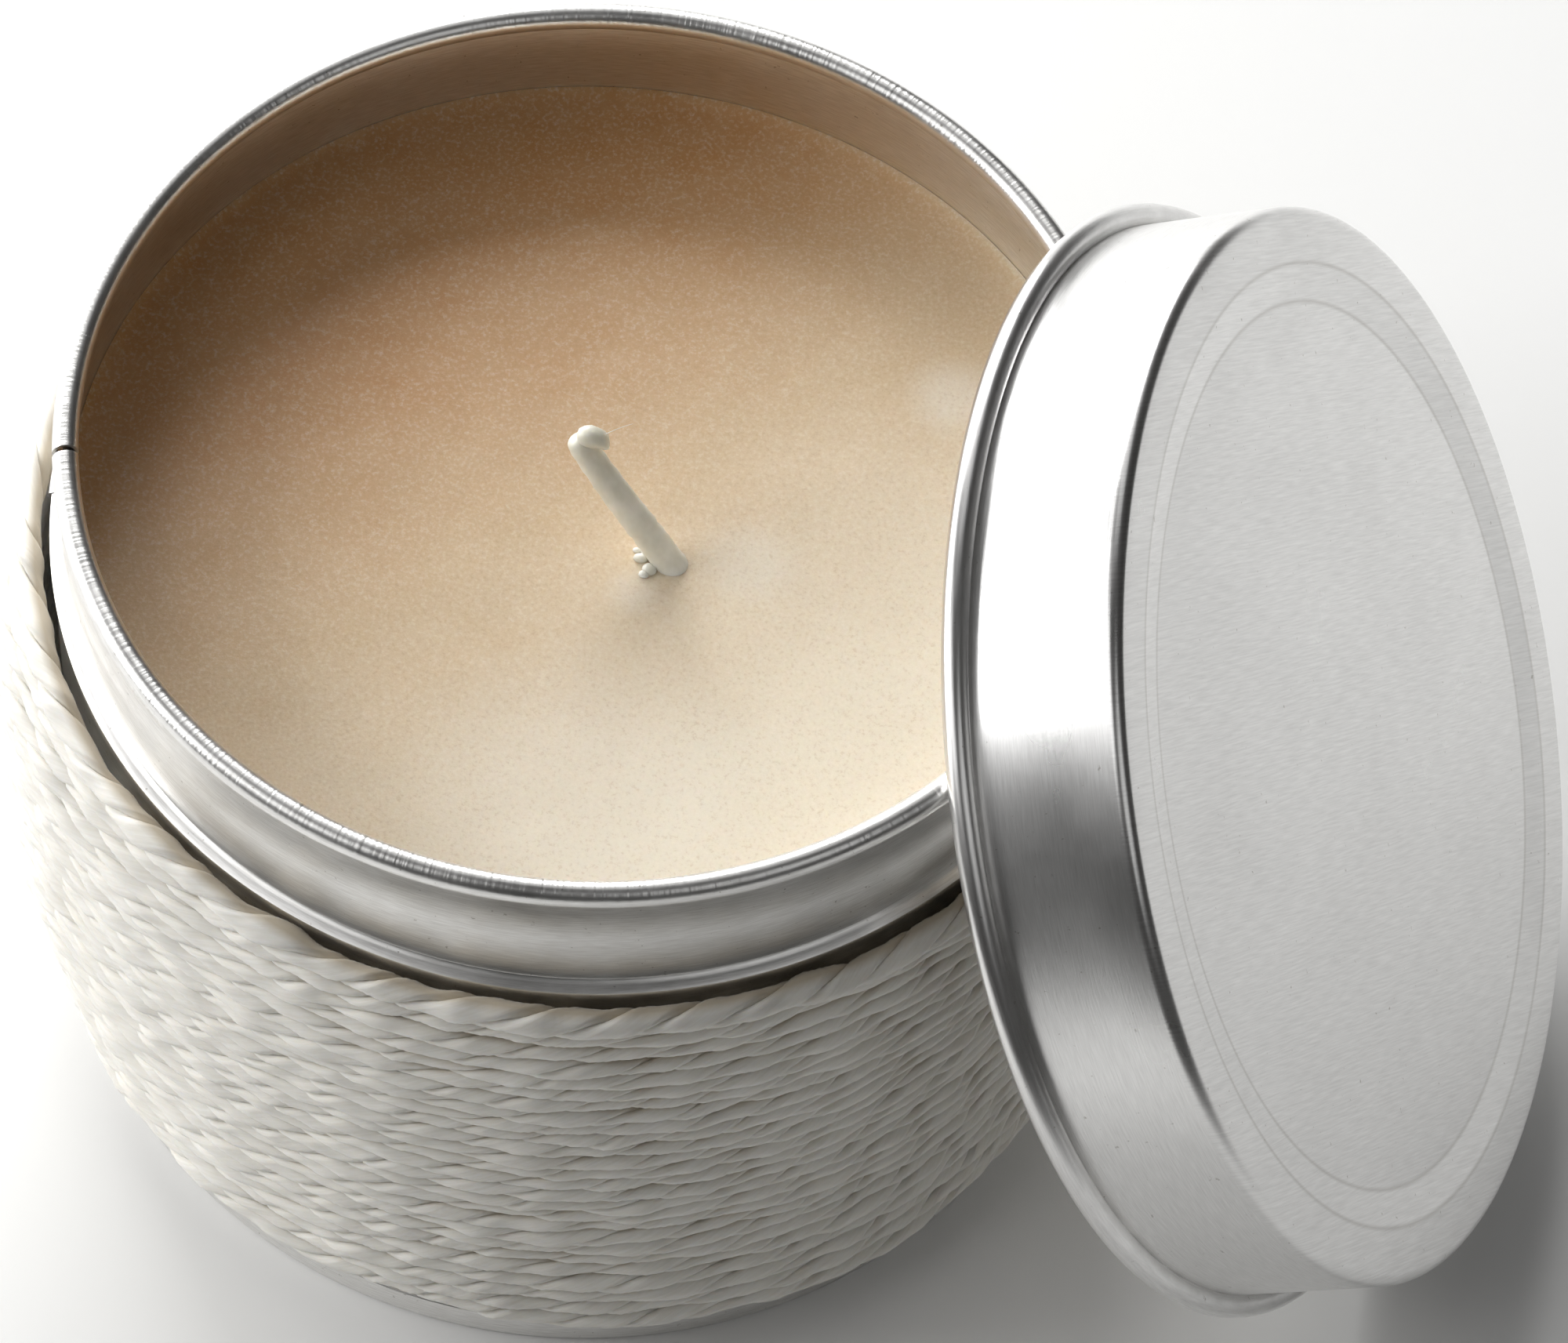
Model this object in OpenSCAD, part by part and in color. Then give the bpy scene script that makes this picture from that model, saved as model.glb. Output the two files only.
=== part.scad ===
// Open candle tin wound with cord, its slip lid leaning against the rim.
// Origin: centre of the tin's foot on the table, +Z up; the lid leans on the +X side.

/* [Tin body] */
// Outer diameter of the rolled rim
rim_d = 77; // [65:0.5:95]
// Height from the table to the top of the rim
tin_h = 64; // [50:0.5:90]
// Thickness of the tinplate sheet
sheet_t = 0.25; // [0.2:0.05:0.4]
// Diameter of the curl rolled into the rim
rim_curl_d = 1.9; // [1.6:0.1:3]
// Depth of the plain collar that the lid slides over, measured from the rim's top
collar_h = 11.8; // [9:0.1:16]
// How far the collar stands back from the rim
collar_inset = 0.1; // [0.05:0.05:0.4]
// How far the wall stands out from the collar
wall_step = 0.6; // [0.4:0.1:1.2]
// Height of the rounded bead between the collar and the wall
bead_h = 1.8; // [1.2:0.1:3]
// How far the bead stands out from the wall
bead_proud = 0.4; // [0.2:0.1:0.8]
// Width of the lapped side seam around the wall
seam_w = 4; // [2:0.5:8]
// Direction of the side seam around the tin, in degrees
seam_az = 195; // [150:1:250]
// Width of the open slit in the rim's curl at the seam
seam_slit = 0.5; // [0.3:0.1:1]

/* [Base] */
// Height of the folded seam that joins the base to the body
chime_h = 3; // [2:0.1:5]
// How far the folded seam stands out from the wall
chime_proud = 0.55; // [0.5:0.05:1]
// Height of the underside of the base's panel above the table
panel_rise = 2.2; // [1:0.1:3]

/* [Cord] */
// Distance between one turn of the cord and the next
cord_pitch = 1.65; // [1.2:0.05:4]
// Thickness of the wound cord, square to the wall
cord_thick = 1.8; // [1.2:0.1:4]
// Least height of the lowest turn's underside above the base's seam
cord_lift = 1.8; // [0.5:0.1:6]

/* [Wax and wick] */
// Depth of the wax's surface below the rim's top
wax_depth = 10.5; // [6:0.5:20]
// Diameter of the waxed wick
wick_d = 2.4; // [1.5:0.1:4]
// Height of the wick's tip above the wax
wick_rise = 9.5; // [4:0.5:15]
// Where the wick leaves the wax, across the tin
wick_exit_x = 6; // [-8:0.5:8]
// Where the wick leaves the wax, along the tin
wick_exit_y = -3; // [-8:0.5:8]
// Where the wick's tip ends, across the tin
wick_tip_x = -0.5; // [-8:0.5:8]
// Where the wick's tip ends, along the tin
wick_tip_y = -0.5; // [-8:0.5:8]
// Diameter of the metal tab that holds the wick
tab_d = 15; // [10:0.5:20]
// Height of the neck on the wick's tab
tab_neck_h = 4; // [2:0.5:8]
// Thickness of the round sticker under the tab
sticker_t = 0.8; // [0.3:0.1:1.5]

/* [Lid] */
// Clearance all round between the lid's skirt and the rim
lid_fit = 0.75; // [0.3:0.05:1]
// Height of the lid from the middle of its curl to its top
lid_depth = 12.2; // [9:0.1:18]
// Diameter of the curl rolled out at the lid's open edge
lid_curl_d = 1.9; // [1.4:0.1:3]
// Radius of the lid's rounded shoulder
lid_shoulder = 0.9; // [0.5:0.1:2]
// Width of the flat band round the lid's top
lid_band_w = 4.2; // [2:0.1:8]
// Width of the sloped step inside the band
lid_slope_w = 2.8; // [1:0.1:5]
// Depth of the lid's sunk middle
lid_sunk = 0.5; // [0.2:0.1:1]
// Angle of the leaning lid's axis above level
lid_lean = 28.8; // [20:0.2:45]

/* [Fits] */
// Clearance between cast wax and the pieces that it fills round
wax_gap = 0.05; // [0.02:0.01:0.2]
// Clearance between folded or stacked metal pieces
metal_gap = 0.05; // [0.02:0.01:0.2]
// Clearance between the cord's turns, and between the cord and the tin
cord_gap = 0.08; // [0.05:0.01:0.3]
// Gap left between the leaning lid and the rim
rest_gap = 0.1; // [0.05:0.05:0.5]

/* [Hidden] */
$fn = 96;
cord_steps = 24;      // rings to each turn of the cord
cord_sides = 6;       // points round the cord's section
eps = 0.03;
over = 1;             // how far a cutting shape runs past what it cuts

rim_r = rim_d / 2;
curl_r = rim_curl_d / 2;
curl_z = tin_h - curl_r;
curl_mid_r = rim_r - curl_r;
slit_z = curl_z - curl_r - sheet_t;
collar_r = rim_r - collar_inset;
wall_r = collar_r + wall_step;
bead_r = wall_r + bead_proud;
bead_top_z = tin_h - collar_h;
bead_low_z = bead_top_z - bead_h;

chime_r = wall_r + chime_proud;
chime_bend_r = 2 * sheet_t;
foot_z = chime_bend_r + metal_gap;
flange_r = chime_r - sheet_t - metal_gap;
well_r = wall_r - sheet_t - metal_gap;
panel_z = panel_rise + sheet_t;

wax_top_z = tin_h - wax_depth;
tab_t = 0.3;
sticker_inset = 0.5;
tab_z = panel_z + sticker_t;
wick_bend = 0.03;
neck_bore_r = wick_d / 2 + wick_bend + metal_gap;
neck_r = neck_bore_r + tab_t;
neck_top_z = tab_z + tab_t + tab_neck_h;

lid_in_r = rim_r + lid_fit;
lid_out_r = lid_in_r + sheet_t;
lid_curl_r = lid_curl_d / 2;
lid_curl_mid_r = lid_in_r + lid_curl_r;
lid_band_r = lid_out_r - lid_band_w;
lid_sunk_r = lid_band_r - lid_slope_w;

// ---- where the leaning lid comes to rest ----
// Its curl stands on the table. Its curl may meet the rim on both sides of the +X direction, its
// sunk panel may meet the rim's foremost point, or its curl may meet the cord: it stops at the first.
lid_rest_z = lid_curl_mid_r * cos(lid_lean) + lid_curl_r;
rest_need = curl_r + lid_curl_r + rest_gap;
rest_drop = curl_z - lid_rest_z;

// A point of the rim's curl at angle a, in the lid's own directions, with the lid cx out from the tin.
function across(cx, a) = curl_mid_r * cos(a) - cx;
function lid_up(cx, a) = -sin(lid_lean) * across(cx, a) + cos(lid_lean) * rest_drop;
function lid_in(cx, a) = cos(lid_lean) * across(cx, a) + sin(lid_lean) * rest_drop;
function lid_out(cx, a) = norm([lid_up(cx, a), curl_mid_r * sin(a)]) - lid_curl_mid_r;
// The angle at which the rim passes through the lid's mouth, and the two curls' least distance;
// the distance counts as negative where the rim would pass outside the mouth.
function mouth_angle(cx) = acos((cx - rest_drop * tan(lid_lean)) / curl_mid_r);
function least_gap(cx) = min([for (a = [0:0.25:80]) norm([lid_in(cx, a), lid_out(cx, a)])]);
function rest_clear(cx) = lid_out(cx, mouth_angle(cx)) < 0 ? least_gap(cx) : -least_gap(cx);
// Halves the interval until the two curls are just the wanted distance apart.
function rest_x(low, high, n) =
    n == 0 ? high
    : rest_clear((low + high) / 2) < rest_need ? rest_x((low + high) / 2, high, n - 1)
    : rest_x(low, (low + high) / 2, n - 1);
rest_far = curl_mid_r + rest_drop * tan(lid_lean);
rest_on_rim = rest_x(rest_far - rim_r / 2, rest_far, 24);
panel_reach = lid_depth - lid_sunk - sheet_t - curl_r - rest_gap;
rest_on_panel = curl_mid_r + (rest_drop * sin(lid_lean) - panel_reach) / cos(lid_lean);

// ---- cord route ----
cord_in_r = (wall_r + sheet_t + cord_gap) / cos(180 / cord_steps);
cord_mid_r = cord_in_r + cord_thick / 2;
cord_half_h = (cord_pitch - cord_gap) / 2;
cord_peak = cord_half_h / sin(60);    // the six-sided section is flat above and below
cord_high_z = bead_low_z - cord_gap - cord_half_h;
cord_turns = floor((cord_high_z - chime_h - cord_lift - cord_half_h) / cord_pitch);
cord_low_z = cord_high_z - cord_turns * cord_pitch;
cord_rings = cord_turns * cord_steps;
cord_end_az = 20;     // both tucked ends lie on the side that the lid hides

// The lid's curl at angle t from its top, level with the cord: how far out it must stay.
cord_keep_r = cord_mid_r + cord_thick / 2 + lid_curl_r + rest_gap;
cord_top_z = cord_high_z + cord_half_h + lid_curl_r;
function keep_x(t) =
    lid_curl_mid_r * sin(lid_lean) * cos(t) + sqrt(max(0, pow(cord_keep_r, 2) - pow(lid_curl_mid_r * sin(t), 2)));
rest_on_cord = max([for (t = [0:2:180]) lid_rest_z + lid_curl_mid_r * cos(lid_lean) * cos(t) < cord_top_z
    ? keep_x(t) : 0]);
lid_rest_x = max(rest_on_rim, rest_on_panel, rest_on_cord);

// ---- shared shapes ----

// A round rod from point a to point b.
module rod(a, b, d) {
    run = b - a;
    translate(a) rotate([0, acos(run[2] / norm(run)), atan2(run[1], run[0])]) cylinder(h = norm(run), d = d);
}

// The wick's route: up through the tab's neck, leaning through the wax, and bent back above it.
module wick_rod(d) {
    low = [0, 0, tab_z + tab_t + metal_gap];
    neck = [0, 0, neck_top_z];
    surface = [wick_exit_x, wick_exit_y, wax_top_z];
    tip = [wick_tip_x, wick_tip_y, wax_top_z + wick_rise];
    rod(low, neck, d);
    rod(neck, surface, d);
    rod(surface, tip, d);
    // the bends are a little thicker than the runs
    translate(neck) sphere(d = d + 2 * wick_bend);
    translate(surface) sphere(d = d + 2 * wick_bend);
}

// Section of a sheet that turns a quarter circle about the origin, from +X to the side given.
module bend_section(outer_r, side) {
    intersection() {
        difference() {
            circle(r = outer_r);
            circle(r = outer_r - sheet_t);
        }
        translate([0, side < 0 ? -outer_r : 0]) square([outer_r, outer_r]);
    }
}

// Section of a curl rolled into a closed tube.
module curl_section(outer_r) {
    difference() {
        circle(r = outer_r);
        circle(r = outer_r - sheet_t);
    }
}

// Section of the sheet from the foot up to the collar, with the bead rolled into it.
module wall_section() {
    bulge_r = (bead_h * bead_h / 4 + bead_proud * bead_proud) / (2 * bead_proud);
    translate([wall_r - sheet_t, foot_z]) square([sheet_t, bead_low_z - foot_z + eps]);
    intersection() {
        translate([bead_r - bulge_r, (bead_top_z + bead_low_z) / 2]) curl_section(bulge_r);
        translate([wall_r - 2 * sheet_t, bead_low_z]) square([bead_proud + 2 * sheet_t + eps, bead_h]);
    }
    translate([collar_r - sheet_t, bead_top_z - sheet_t]) square([wall_step + sheet_t, sheet_t]);
    translate([collar_r - sheet_t, bead_top_z - sheet_t]) square([sheet_t, curl_z - bead_top_z + sheet_t]);
}

module tin_body() {
    lap_angle = seam_w / wall_r * 180 / PI;
    color("gainsboro") difference() {
        union() {
            rotate_extrude() {
                wall_section();
                // flange folded out under the base's seam
                translate([wall_r - sheet_t, foot_z]) square([flange_r - wall_r + sheet_t, sheet_t]);
                translate([curl_mid_r, curl_z]) curl_section(curl_r);
            }
            // the sheet's outer edge, lapped over its inner edge
            rotate([0, 0, seam_az - lap_angle]) rotate_extrude(angle = lap_angle) intersection() {
                translate([sheet_t / 2, eps]) wall_section();
                translate([0, chime_h + metal_gap])
                    square([bead_r + over, slit_z - chime_h - 2 * metal_gap]);
            }
        }
        rotate([0, 0, seam_az]) translate([curl_mid_r - curl_r - over, -seam_slit / 2, slit_z])
            cube([2 * curl_r + 2 * over, seam_slit, tin_h - slit_z + over]);
    }
}

module tin_base() {
    color("silver") rotate_extrude() {
        // sunk panel, the well's side and the flat foot
        translate([0, panel_rise]) square([well_r, sheet_t]);
        translate([well_r - sheet_t, 0]) square([sheet_t, panel_z]);
        translate([well_r - sheet_t, 0]) square([chime_r - chime_bend_r - well_r + sheet_t, sheet_t]);
        // edge folded up round the body's flange and closed over it
        translate([chime_r - chime_bend_r, chime_bend_r]) bend_section(chime_bend_r, -1);
        translate([chime_r - sheet_t, chime_bend_r]) square([sheet_t, chime_h - chime_bend_r]);
        translate([wall_r + metal_gap, chime_h - sheet_t]) square([chime_r - wall_r - metal_gap, sheet_t]);
    }
}

// ---- cord ----

// One point of the cord's surface: ring i along the route, side j round the section.
function cord_point(i, j) =
    let (az = cord_end_az + 360 * i / cord_steps,
         side = 360 * j / cord_sides,
         r = cord_mid_r + cord_thick / 2 * cos(side))
    [r * cos(az), r * sin(az), cord_low_z + cord_pitch * i / cord_steps + cord_peak * sin(side)];

module cord_wrap() {
    points = [for (i = [0:cord_rings]) for (j = [0:cord_sides - 1]) cord_point(i, j)];
    skin = [for (i = [0:cord_rings - 1]) for (j = [0:cord_sides - 1])
        let (next = (j + 1) % cord_sides, a = i * cord_sides, b = a + cord_sides)
        each [[a + j, b + j, b + next], [a + j, b + next, a + next]]];
    first = [for (j = [0:cord_sides - 1]) j];
    last = [for (j = [cord_sides - 1:-1:0]) cord_rings * cord_sides + j];
    color("floralwhite") polyhedron(points, concat(skin, [first, last]));
}

// ---- wax, wick and what holds it ----

module wax_fill() {
    wall_in = wall_r - sheet_t - wax_gap;
    collar_in = collar_r - sheet_t - wax_gap;
    low = panel_z + wax_gap;
    tab_hollow_h = tab_z + tab_t + wax_gap - low + over;
    color("wheat") difference() {
        rotate_extrude() {
            translate([0, low]) square([wall_in, min(wax_top_z, bead_low_z) - low]);
            translate([0, low]) square([collar_in, wax_top_z - low]);
        }
        translate([0, 0, low - over]) cylinder(h = tab_hollow_h, d = tab_d + 2 * wax_gap);
        cylinder(h = neck_top_z + wax_gap, r = neck_r + wax_gap);
        wick_rod(wick_d + 2 * wax_gap);
    }
}

module wick() {
    color("ivory") wick_rod(wick_d);
}

module wick_tab() {
    color("lightgray") difference() {
        union() {
            translate([0, 0, tab_z]) cylinder(h = tab_t, d = tab_d);
            translate([0, 0, tab_z]) cylinder(h = neck_top_z - tab_z, r = neck_r);
        }
        translate([0, 0, tab_z + tab_t]) cylinder(h = tab_neck_h + over, r = neck_bore_r);
    }
}

module wick_sticker() {
    color("white") translate([0, 0, panel_z]) cylinder(h = sticker_t, d = tab_d - 2 * sticker_inset);
}

// ---- lid ----

// The lid with its axis along +Z and the middle of its curl at z = 0.
module lid_shape() {
    shoulder_z = lid_depth - lid_shoulder;
    rotate_extrude() {
        translate([lid_curl_mid_r, 0]) curl_section(lid_curl_r);
        translate([lid_in_r, 0]) square([sheet_t, shoulder_z]);
        translate([lid_out_r - lid_shoulder, shoulder_z]) bend_section(lid_shoulder, 1);
        translate([lid_band_r, lid_depth - sheet_t]) square([lid_out_r - lid_shoulder - lid_band_r, sheet_t]);
        polygon([
            [lid_band_r, lid_depth], [lid_sunk_r, lid_depth - lid_sunk],
            [lid_sunk_r, lid_depth - lid_sunk - sheet_t], [lid_band_r, lid_depth - sheet_t]
        ]);
        translate([0, lid_depth - lid_sunk - sheet_t]) square([lid_sunk_r, sheet_t]);
    }
}

module lid() {
    color("whitesmoke") translate([lid_rest_x, 0, lid_rest_z]) rotate([0, 90 - lid_lean, 0]) lid_shape();
}

tin_body();
tin_base();
cord_wrap();
wax_fill();
wick();
wick_tab();
wick_sticker();
lid();
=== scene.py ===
# %% [markdown]
# # A candle tin wound with cord, its lid leaning on the rim
#
# A candle maker pours wax into a round tin of thin tin-plated steel. This one is wound with soft
# cotton cord, and its slip lid stands on the table and leans on the rim. The CAD model says where
# every piece is and how the lid lifts. This script loads it as a fixed frame and builds the looks
# round it: turned metal shells, a twisted cord, cast wax, a burnt-in wick, and their materials.

import math

import bpy
import numpy as np
from mathutils import Matrix, Vector


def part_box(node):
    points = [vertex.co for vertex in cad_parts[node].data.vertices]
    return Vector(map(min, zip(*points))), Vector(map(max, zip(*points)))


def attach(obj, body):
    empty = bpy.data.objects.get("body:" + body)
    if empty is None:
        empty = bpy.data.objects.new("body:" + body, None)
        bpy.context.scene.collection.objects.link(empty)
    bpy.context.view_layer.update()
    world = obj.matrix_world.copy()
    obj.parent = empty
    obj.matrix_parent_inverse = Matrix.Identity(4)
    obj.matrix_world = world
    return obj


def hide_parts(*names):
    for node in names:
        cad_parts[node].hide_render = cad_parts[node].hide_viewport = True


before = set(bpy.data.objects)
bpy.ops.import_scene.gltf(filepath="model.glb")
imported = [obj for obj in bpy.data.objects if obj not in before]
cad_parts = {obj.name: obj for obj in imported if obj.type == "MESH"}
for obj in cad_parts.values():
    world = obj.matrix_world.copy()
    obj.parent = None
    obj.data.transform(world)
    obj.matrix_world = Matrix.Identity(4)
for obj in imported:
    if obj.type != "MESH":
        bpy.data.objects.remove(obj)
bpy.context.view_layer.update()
MM = 0.001

# %% [markdown]
# ## The camera
#
# The tin is seen from the front and well above, through a long lens, so its rim shows as a wide
# ellipse and the tin narrows only a little towards the table. A camera is easiest to place by the
# point it looks at, the direction and distance it looks from, and how far it is rolled.

# %% Place the camera
aim = Vector((16.84, -16.26, 63.05)) * MM
look_azimuth = math.radians(-7.80)
look_down = math.radians(57.72)
camera_distance = 497.5 * MM
camera_roll = math.radians(-4.16)

sight = Vector((
    math.sin(look_azimuth) * math.cos(look_down),
    math.cos(look_azimuth) * math.cos(look_down),
    -math.sin(look_down),
))
camera_data = bpy.data.cameras.new("camera")
camera_data.sensor_width = 36
camera_data.lens = 164.12
camera_data.clip_start = 0.01
camera = bpy.data.objects.new("camera", camera_data)
bpy.context.scene.collection.objects.link(camera)
camera.rotation_mode = "QUATERNION"
level = sight.to_track_quat("-Z", "Y")
camera.rotation_quaternion = Matrix.Rotation(camera_roll, 3, sight).to_quaternion() @ level
camera.location = aim - sight * camera_distance
bpy.context.scene.camera = camera
print("camera at", [round(c, 4) for c in camera.location])

# %% [markdown]
# ## The floor and the light
#
# Tinplate has hardly any colour of its own: it shows what stands round it. Three soft boxes behind
# and to the left give the broad white reflections on the lid's skirt and light the cord's left
# side. A weak one high up behind lights the rim's curl, and two fills lift the shadows. The room
# in front stays dim, which gives the dark bands. The floor is one flat plane, a plain pale sheet.

# %% Build the floor
def nothing_selected():
    bpy.ops.object.select_all(action="DESELECT")


floor_half = 0.5
nothing_selected()
bpy.ops.mesh.primitive_plane_add(size=2 * floor_half, location=(0, 0, 0))
floor = bpy.context.object
floor.name = "floor"
paper = bpy.data.materials.new("white_paper")
paper.use_nodes = True
paper_shader = paper.node_tree.nodes["Principled BSDF"]
paper_shader.inputs["Base Color"].default_value = (0.93, 0.93, 0.92, 1)
paper_shader.inputs["Roughness"].default_value = 0.9
paper_shader.inputs["Specular IOR Level"].default_value = 0.1
floor.data.materials.append(paper)
print("floor", 2 * floor_half, "m across")

# %% Hang the lights
def soft_box(name, azimuth, elevation, distance, width, height, watts, colour=(1, 1, 1)):
    """An area light that faces the tin from a direction given in degrees, +X being azimuth 0."""
    a = math.radians(azimuth)
    e = math.radians(elevation)
    way = Vector((math.cos(a) * math.cos(e), math.sin(a) * math.cos(e), math.sin(e)))
    light = bpy.data.lights.new(name, "AREA")
    light.shape = "RECTANGLE"
    light.size = width
    light.size_y = height
    light.energy = watts
    light.color = colour
    lamp = bpy.data.objects.new(name, light)
    bpy.context.scene.collection.objects.link(lamp)
    lamp.location = way * distance + Vector((0, 0, 0.04))
    lamp.rotation_mode = "QUATERNION"
    lamp.rotation_quaternion = (-way).to_track_quat("-Z", "Y")
    return lamp


# name, azimuth, elevation, distance, width, height, watts
soft_box("soft_box_back", 115, 28, 0.95, 0.6, 0.5, 8.0)
soft_box("soft_box_left_back", 150, 18, 0.90, 0.9, 0.5, 5.3)
soft_box("soft_box_left", 186, 22, 0.90, 0.5, 0.55, 4.7)
soft_box("soft_box_high", 101, 64, 1.00, 0.6, 0.5, 0.5)
soft_box("fill_left_high", 215, 50, 1.00, 0.6, 0.5, 1.2)
soft_box("fill_right", 320, 50, 1.00, 0.6, 0.5, 0.6)
room = bpy.data.worlds.new("room")
bpy.context.scene.world = room
room.use_nodes = True
room_light = room.node_tree.nodes["Background"]
room_light.inputs["Color"].default_value = (1.0, 0.98, 0.95, 1)
room_light.inputs["Strength"].default_value = 0.03
bpy.context.scene.view_settings.view_transform = "Standard"

# %% [markdown]
# ## Turning a shell
#
# The tin, its base, the lid and the cast wax are all round. A sheet-metal shop spins them, and so
# does this script: one point is extruded from place to place along half of the section, and the
# finished outline is spun once round the tin's axis. Boxing the shapes from cylinders would work
# too, but a section shows every fold of the sheet, such as the curl at the rim.

# %% Spin an outline
TURN_STEPS = 256


def spin_outline(name, outline, start=0.0, angle=360.0, steps=TURN_STEPS):
    """Spins a closed outline of (radius, height) pairs round the Z axis, from one angle on."""
    a = math.radians(start)
    points = [Vector((r * math.cos(a), r * math.sin(a), z)) for r, z in outline]
    nothing_selected()
    bpy.ops.mesh.primitive_circle_add(vertices=3, radius=0.1 * MM, location=points[0])
    piece = bpy.context.object
    piece.name = name
    bpy.ops.object.transform_apply(location=True, rotation=True, scale=True)
    bpy.ops.object.mode_set(mode="EDIT")
    bpy.ops.mesh.select_all(action="SELECT")
    bpy.ops.mesh.merge(type="CENTER")
    place = points[0]
    for point in points[1:] + points[:1]:
        step = point - place
        bpy.ops.mesh.extrude_region_move(TRANSFORM_OT_translate={"value": step})
        place = point
    bpy.ops.mesh.select_all(action="SELECT")
    bpy.ops.mesh.remove_doubles(threshold=0.0002 * MM)
    bpy.ops.mesh.select_all(action="SELECT")
    bpy.ops.mesh.spin(steps=steps, angle=math.radians(angle), center=(0, 0, 0), axis=(0, 0, 1))
    bpy.ops.mesh.select_all(action="SELECT")
    bpy.ops.mesh.remove_doubles(threshold=0.0002 * MM)
    if angle < 360:
        bpy.ops.mesh.select_all(action="DESELECT")
        bpy.ops.mesh.select_non_manifold()
        bpy.ops.mesh.edge_face_add()
    bpy.ops.mesh.select_all(action="SELECT")
    bpy.ops.mesh.normals_make_consistent(inside=False)
    bpy.ops.object.mode_set(mode="OBJECT")
    nothing_selected()
    piece.select_set(True)
    bpy.ops.object.shade_smooth_by_angle(angle=math.radians(40))
    print(name, len(piece.data.polygons), "faces")
    return piece


def arc(centre, radius, first, last, count):
    """Points of an arc in the section, from one angle to another in degrees."""
    turns = np.radians(np.linspace(first, last, count))
    return [(centre[0] + radius * math.cos(t), centre[1] + radius * math.sin(t)) for t in turns]


def ease(x):
    """A smooth step from 0 to 1."""
    x = min(max(x, 0.0), 1.0)
    return x * x * (3 - 2 * x)


def in_metres(outline):
    return [(r * MM, z * MM) for r, z in outline]


# %% [markdown]
# ## The tin body
#
# The body is one strip of tinplate 0.25 mm thick. From the foot it rises as a straight wall, swells
# into a small bead that stops the lid, steps in to the collar that the lid slides over, and ends in
# a curl rolled inwards, so that no cut edge is left to touch.

# %% Turn the tin body
rim_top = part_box("tin_body")[1].z / MM
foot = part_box("tin_body")[0].z / MM
sheet = 0.25
wall_r = 39.0
collar_r = 38.25
bead_r = 39.2
curl_r = 0.95
curl_mid_r = 38.5 - curl_r
curl_z = rim_top - curl_r
bead_low = rim_top - 13.7
bead_mid = rim_top - 11.85
collar_low = rim_top - 11.35


def wall_line(z, out=0.0):
    """Radius of the body's outside at a height, through the bead and up to the collar."""
    if z < bead_mid:
        radius = bead_r - (bead_r - wall_r) * ease((bead_mid - z) / (bead_mid - bead_low))
    else:
        radius = collar_r + (bead_r - collar_r) * ease((collar_low - z) / (collar_low - bead_mid))
    return radius + out


def body_outline():
    heights = [foot, 20, 40, bead_low - 0.5]
    heights += list(np.linspace(bead_low, collar_low, 22)) + [collar_low + 0.5, 58]
    outside = [(wall_line(z), z) for z in heights]
    start_angle = -math.degrees(math.acos((collar_r - curl_mid_r) / curl_r))
    curl_out = arc((curl_mid_r, curl_z), curl_r, start_angle, 288, 34)
    curl_in = arc((curl_mid_r, curl_z), curl_r - sheet, 288, start_angle + 2, 24)
    inside = [(wall_line(z, -sheet), z) for z in reversed(heights)]
    return outside + curl_out + curl_in + inside


tin = spin_outline("tin_shell", in_metres(body_outline()))
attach(tin, "tin")
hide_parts("tin_body")

# %% [markdown]
# ## The side seam
#
# The strip's two ends overlap at a soldered side seam. Where the rim is rolled the two curls only
# meet end to end, and a dark slit stays between them. The slit is cut with a thin block as a saw
# would cut it, and the lapped end is its own narrow band on the outside.

# %% Cut the slit and lay the lap
seam_azimuth = 195.0
lap_width = 4.0
slit_width = 0.42


def cut_with_block(piece, size, place, turn_z):
    """Takes a block out of a piece with a boolean modifier that is applied at once."""
    nothing_selected()
    bpy.ops.mesh.primitive_cube_add(size=1, location=place, rotation=(0, 0, turn_z))
    block = bpy.context.object
    block.scale = size
    nothing_selected()
    piece.select_set(True)
    bpy.context.view_layer.objects.active = piece
    cut = piece.modifiers.new("cut", "BOOLEAN")
    cut.operation = "DIFFERENCE"
    cut.object = block
    cut.solver = "EXACT"
    bpy.ops.object.modifier_apply(modifier="cut")
    bpy.data.objects.remove(block)


seam_turn = math.radians(seam_azimuth)
slit_x = curl_mid_r * math.cos(seam_turn)
slit_y = curl_mid_r * math.sin(seam_turn)
slit_place = Vector((slit_x, slit_y, curl_z)) * MM
slit_size = (2.6 * MM, slit_width * MM, 2.3 * MM)
cut_with_block(tin, slit_size, slit_place, seam_turn + math.radians(4))

lap_heights = [3.2, 20, 40, bead_low - 0.5] + list(np.linspace(bead_low, collar_low, 18))
lap_heights += [collar_low + 0.5, curl_z - curl_r]
lap_outline = [(wall_line(z, 0.22), z) for z in lap_heights]
lap_outline += [(wall_line(z, -0.02), z) for z in reversed(lap_heights)]
lap_angle = math.degrees(lap_width / wall_r)
lap = spin_outline("tin_seam_lap", in_metres(lap_outline), seam_azimuth - lap_angle, lap_angle, 8)
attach(lap, "tin")
print("slit cut and lap laid at", seam_azimuth, "degrees")

# %% [markdown]
# ## The base
#
# The bottom is a pressed disc. Its middle is sunk so that the tin stands on a narrow ring, and its
# edge is folded up round the body's flange and squeezed flat: the chime that shows as a bright band
# under the cord.

# %% Turn the base
base_low, base_high = (corner.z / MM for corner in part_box("tin_base"))
chime_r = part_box("tin_base")[1].x / MM
well_r = wall_r - sheet - 0.05
panel_low = 2.2
fold_r = 0.5


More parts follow.
